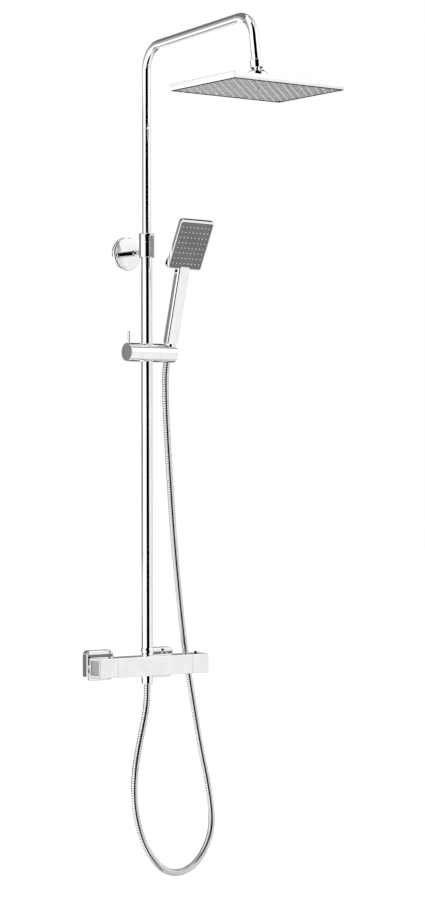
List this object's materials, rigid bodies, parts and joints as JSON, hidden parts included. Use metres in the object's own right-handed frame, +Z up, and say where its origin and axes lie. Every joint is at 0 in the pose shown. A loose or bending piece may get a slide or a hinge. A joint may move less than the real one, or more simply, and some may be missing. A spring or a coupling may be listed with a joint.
{
  "type": "rainfall shower column",
  "caption": "Exposed bar shower column: thermostatic bar valve, telescopic riser with swan neck, square overhead head, sliding handset holder, handset and metal hose.",
  "frame": {"origin": "midway between the two G1/2 water inlets, on the finished wall", "axes": "+X along the wall to the user's right, +Y into the wall, +Z up"},
  "size_m": [0.3104, 0.5675, 1.7255],
  "materials": {
    "chrome": "polished chrome",
    "chrome_plastic": "chrome-plated ABS",
    "brass": "machined brass",
    "steel": "stainless steel",
    "grey_plastic": "satin grey plastic",
    "dark_plastic": "satin dark grey plastic",
    "white_plastic": "natural acetal",
    "rubber": "black rubber",
    "silicone": "pale silicone",
    "button": "dark button",
    "panel": "satin grey chrome panel",
    "hose_metal": "interlocked steel spiral"
  },
  "bodies": {
    "wall_set": {"left_wall_plate": "chrome", "right_wall_plate": "chrome", "wall_connectors": "brass", "union_nuts": "chrome", "inlet_washers": "rubber", "check_valves": "white_plastic", "valve_body": "chrome", "flow_cartridge": "brass", "thermostat_cartridge": "brass", "wax_element": "brass", "stop_ring": "white_plastic", "riser_union_nut": "chrome", "riser_washer": "rubber", "lower_riser_tube": "chrome", "bracket_base": "steel", "bracket_disc": "chrome", "bracket_standoff": "chrome", "bracket_lock_nut": "chrome", "bracket_stem": "chrome", "bracket_collar": "chrome", "collar_cover": "chrome_plastic", "compression_nut": "chrome", "compression_ring": "rubber", "hose_valve_nut": "chrome", "hose_valve_washer": "rubber", "hose_valve_ferrule": "steel", "shower_hose": "hose_metal"},
    "flow_handle": {"flow_spindle": "brass", "flow_knob": "chrome_plastic", "flow_end_cap": "panel", "flow_knob_screw": "steel"},
    "temperature_handle": {"temperature_spindle": "brass", "temperature_knob": "chrome_plastic", "temperature_end_cap": "panel", "temperature_knob_screw": "steel", "button_spring": "steel"},
    "button": {"safety_button": "button"},
    "riser_guide": {"riser_guide_bush": "white_plastic"},
    "swan_neck": {"upper_riser_arm": "chrome", "arm_end_nut": "chrome", "ball_stem": "chrome"},
    "ball_seat": {"ball_seat_ring": "white_plastic"},
    "overhead_head": {"swivel_nut": "chrome", "swivel_socket": "chrome", "head_shell": "chrome_plastic", "head_gasket": "rubber", "head_face_plate": "grey_plastic", "head_centre_cap": "chrome_plastic", "head_nozzles": "silicone"},
    "slider_carriage": {"slider_bush": "white_plastic"},
    "slider": {"slider_body": "chrome_plastic"},
    "clamp": {"clamp_knob": "chrome_plastic", "clamp_screw": "steel", "lever_pin": "chrome"},
    "holder": {"handset_holder": "chrome_plastic"},
    "hose_end": {"hose_end_ferrule": "steel"},
    "handset": {"hose_cone_nut": "chrome", "handset_body": "chrome_plastic", "handset_face_plate": "dark_plastic", "handset_nozzles": "silicone"}
  },
  "joints": [
    {"name": "flow_turn", "type": "hinge", "parent": "wall_set", "child": "flow_handle", "pos_m": [-0.106, -0.076, 0], "axis": [1, 0, 0], "range_deg": [-90, 90]},
    {"name": "temperature_turn", "type": "hinge", "parent": "wall_set", "child": "temperature_handle", "pos_m": [0.121, -0.076, 0], "axis": [1, 0, 0], "range_deg": [-180, 75]},
    {"name": "button_press", "type": "slide", "parent": "temperature_handle", "child": "button", "axis": [0, 0, -1], "range_m": [0, 0.0025], "stiffness_N_per_m": 600, "springref_m": -0.001, "deforming": ["button_spring"]},
    {"name": "riser_height", "type": "slide", "parent": "wall_set", "child": "riser_guide", "axis": [0, 0, 1], "range_m": [-0.2, 0.1]},
    {"name": "arm_swivel", "type": "hinge", "parent": "riser_guide", "child": "swan_neck", "pos_m": [0, -0.076, 0.62], "axis": [0, 0, 1], "range_deg": [-60, 60]},
    {"name": "head_roll", "type": "hinge", "parent": "swan_neck", "child": "ball_seat", "pos_m": [0, -0.45, 1.162], "axis": [0, 1, 0], "range_deg": [-15, 15]},
    {"name": "head_tilt", "type": "hinge", "parent": "ball_seat", "child": "overhead_head", "pos_m": [0, -0.45, 1.162], "axis": [1, 0, 0], "range_deg": [-23, 6]},
    {"name": "slider_height", "type": "slide", "parent": "wall_set", "child": "slider_carriage", "axis": [0, 0, 1], "range_m": [-0.5, 0.16], "deforming": ["shower_hose"]},
    {"name": "slider_swivel", "type": "hinge", "parent": "slider_carriage", "child": "slider", "pos_m": [0, -0.076, 0.6394], "axis": [0, 0, 1], "range_deg": [-60, 60]},
    {"name": "clamp_turn", "type": "hinge", "parent": "slider", "child": "clamp", "pos_m": [-0.036, -0.076, 0.6394], "axis": [1, 0, 0], "range_deg": [0, 90]},
    {"name": "holder_tilt", "type": "hinge", "parent": "slider", "child": "holder", "pos_m": [0.045, -0.076, 0.6394], "axis": [1, 0, 0], "range_deg": [-10, 35]},
    {"name": "handset_lift", "type": "slide", "parent": "holder", "child": "hose_end", "axis": [0, -0.2756, 0.9613], "range_m": [0, 0.06]},
    {"name": "handset_turn", "type": "hinge", "parent": "hose_end", "child": "handset", "pos_m": [0.054, -0.076, 0.6394], "axis": [0, -0.2756, 0.9613], "range_deg": [-9, 45]}
  ]
}
